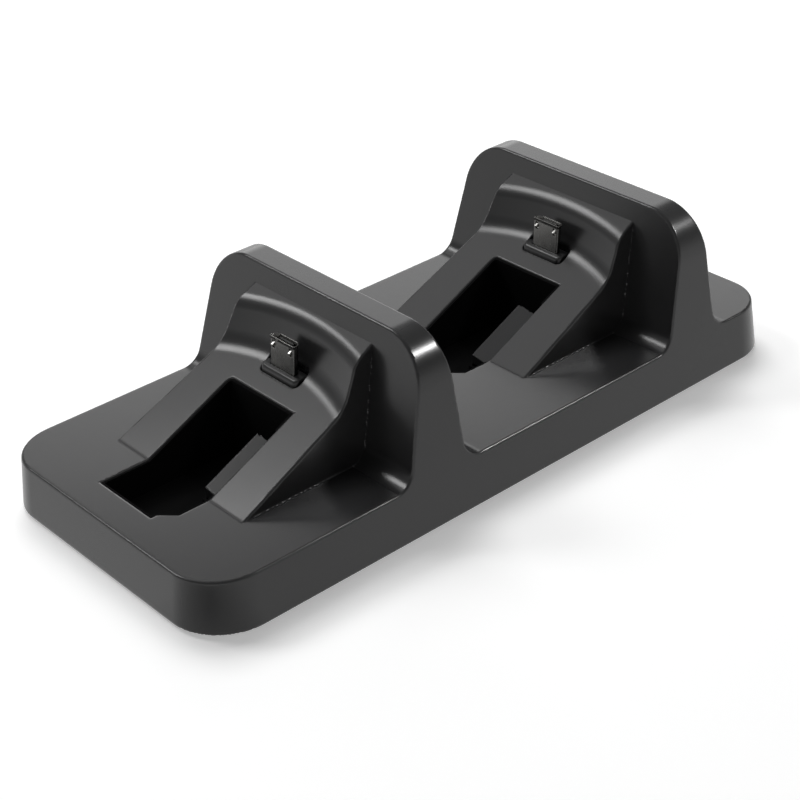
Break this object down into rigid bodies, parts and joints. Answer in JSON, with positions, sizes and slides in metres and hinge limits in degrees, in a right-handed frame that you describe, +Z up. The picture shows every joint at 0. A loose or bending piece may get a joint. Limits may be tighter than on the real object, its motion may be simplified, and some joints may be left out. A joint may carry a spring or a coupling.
{
  "type": "controller charging dock",
  "caption": "Low dark charging dock with rounded back rests, sloped cradles, black pockets and upright charging plugs for game controllers.",
  "frame": {"origin": "centre of the dock's plan at the surface that it stands on", "axes": "+Z up, +Y along the dock from the front cradle to the end with the power inlet, +X to the right seen from the front end"},
  "size_m": [0.066, 0.144, 0.0358],
  "materials": {
    "housing_plastic": "satin moulded plastic, dark grey",
    "cover_plastic": "fine-grained moulded plastic, black",
    "foot_rubber": "matt rubber",
    "screw_steel": "plated",
    "circuit_board": "green solder mask",
    "chip_body": "moulded epoxy",
    "coil_body": "ferrite",
    "inlet_metal": "tinned sheet",
    "connector_plastic": "black moulding",
    "liner_plastic": "matt black moulding",
    "lead_sleeve": "flat lead sleeve",
    "grip_plastic": "satin black moulding",
    "plug_metal": "dull plated sheet steel",
    "latch_metal": "sprung steel",
    "contact_metal": "gold plated"
  },
  "bodies": {
    "root": {"upper_housing": "housing_plastic", "bottom_cover": "cover_plastic", "foot_front_left": "foot_rubber", "foot_front_right": "foot_rubber", "foot_rear_left": "foot_rubber", "foot_rear_right": "foot_rubber", "case_screw_front_left": "screw_steel", "case_screw_front_right": "screw_steel", "case_screw_middle_left": "screw_steel", "case_screw_middle_right": "screw_steel", "case_screw_rear_left": "screw_steel", "case_screw_rear_right": "screw_steel", "main_board": "circuit_board", "board_screw_front": "screw_steel", "board_screw_middle": "screw_steel", "board_screw_rear": "screw_steel", "inlet_shell": "inlet_metal", "inlet_tongue": "connector_plastic", "charge_chip_front": "chip_body", "charge_chip_rear": "chip_body", "power_coil": "coil_body", "pocket_liner_front": "liner_plastic", "pocket_liner_rear": "liner_plastic", "plug_board_front": "circuit_board", "plug_board_rear": "circuit_board", "plug_screws_front": "screw_steel", "plug_screws_rear": "screw_steel", "plug_lead_front": "lead_sleeve", "plug_lead_rear": "lead_sleeve", "plug_grip_front": "grip_plastic", "plug_grip_rear": "grip_plastic", "plug_shell_front": "plug_metal", "plug_shell_rear": "plug_metal", "plug_tongue_front": "connector_plastic", "plug_tongue_rear": "connector_plastic", "plug_contacts_front": "contact_metal", "plug_contacts_rear": "contact_metal", "plug_latch_front": "latch_metal", "plug_latch_rear": "latch_metal"}
  },
  "joints": []
}
